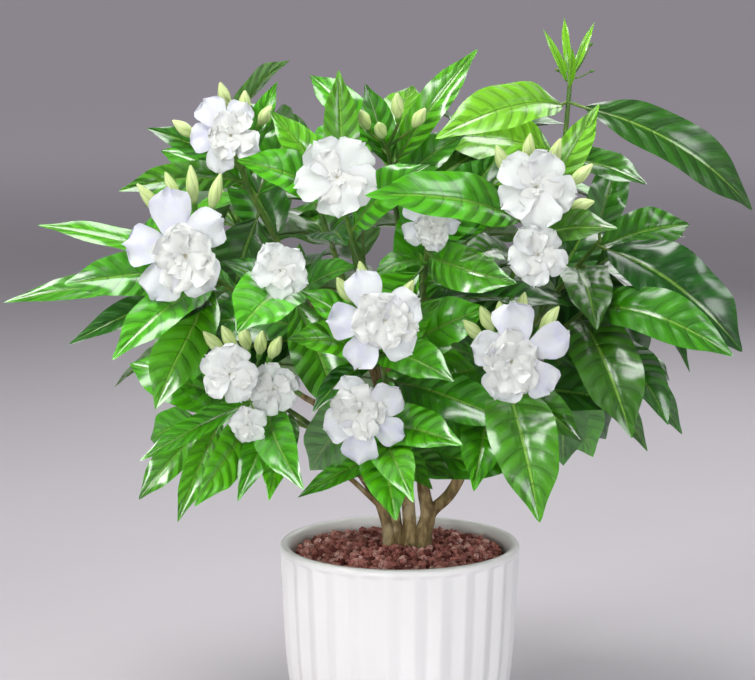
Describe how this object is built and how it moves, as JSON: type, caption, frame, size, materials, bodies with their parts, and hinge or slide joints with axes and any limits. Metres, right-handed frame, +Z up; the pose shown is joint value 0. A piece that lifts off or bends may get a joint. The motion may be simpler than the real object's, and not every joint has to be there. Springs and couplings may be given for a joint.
{
  "type": "potted gardenia",
  "caption": "Bushy evergreen shrub with glossy opposite leaves, ruffled white double flowers and pale green buds, in a round fluted white ceramic pot topped with reddish lava grit.",
  "frame": {"origin": "centre of the pot's flat foot, on the surface that it stands on", "axes": "+Z up along the pot's axis, -Y towards the front with the most flowers, +X to the right seen from the front"},
  "size_m": [0.464, 0.3906, 0.482],
  "materials": {
    "white_glaze": "gloss",
    "soil": "matte",
    "grit": "matte",
    "bark": "matte",
    "leaf": "gloss",
    "petal": "matte",
    "bud": "satin"
  },
  "bodies": {
    "root": {"pot": "white_glaze", "potting_soil": "soil", "lava_grit": "grit", "woody_stems": "bark", "bloom_1": "petal", "bloom_10": "petal", "bloom_11_a": "petal", "bloom_11_b": "petal", "bloom_11_c": "petal", "bloom_2": "petal", "bloom_3": "petal", "bloom_4": "petal", "bloom_5": "petal", "bloom_6_a": "petal", "bloom_6_b": "petal", "bloom_8": "petal", "bloom_9": "petal", "bloom_fill_1": "petal", "bloom_fill_2": "petal", "bloom_fill_3": "petal", "bloom_fill_4": "petal", "buds_1": "bud", "buds_11": "bud", "buds_2": "bud", "buds_6": "bud", "buds_8": "bud", "buds_9": "bud", "buds_fill_2": "bud", "buds_fill_4": "bud", "buds_top": "bud", "shoot_by_bloom_1": "leaf", "shoot_by_bloom_10": "leaf", "shoot_by_bloom_11": "leaf", "shoot_by_bloom_2": "leaf", "shoot_by_bloom_3": "leaf", "shoot_by_bloom_4": "leaf", "shoot_by_bloom_5": "leaf", "shoot_by_bloom_6": "leaf", "shoot_by_bloom_8": "leaf", "shoot_by_bloom_9": "leaf", "shoot_fill_1": "leaf", "shoot_fill_10": "leaf", "shoot_fill_11": "leaf", "shoot_fill_12": "leaf", "shoot_fill_13": "leaf", "shoot_fill_14": "leaf", "shoot_fill_2": "leaf", "shoot_fill_3": "leaf", "shoot_fill_4": "leaf", "shoot_fill_5": "leaf", "shoot_fill_6": "leaf", "shoot_fill_7": "leaf", "shoot_fill_8": "leaf", "shoot_fill_9": "leaf", "shoot_left_low": "leaf", "shoot_right_high": "leaf", "shoot_right_low": "leaf", "shoot_top_middle": "leaf", "shoot_top_right": "leaf"}
  },
  "joints": []
}
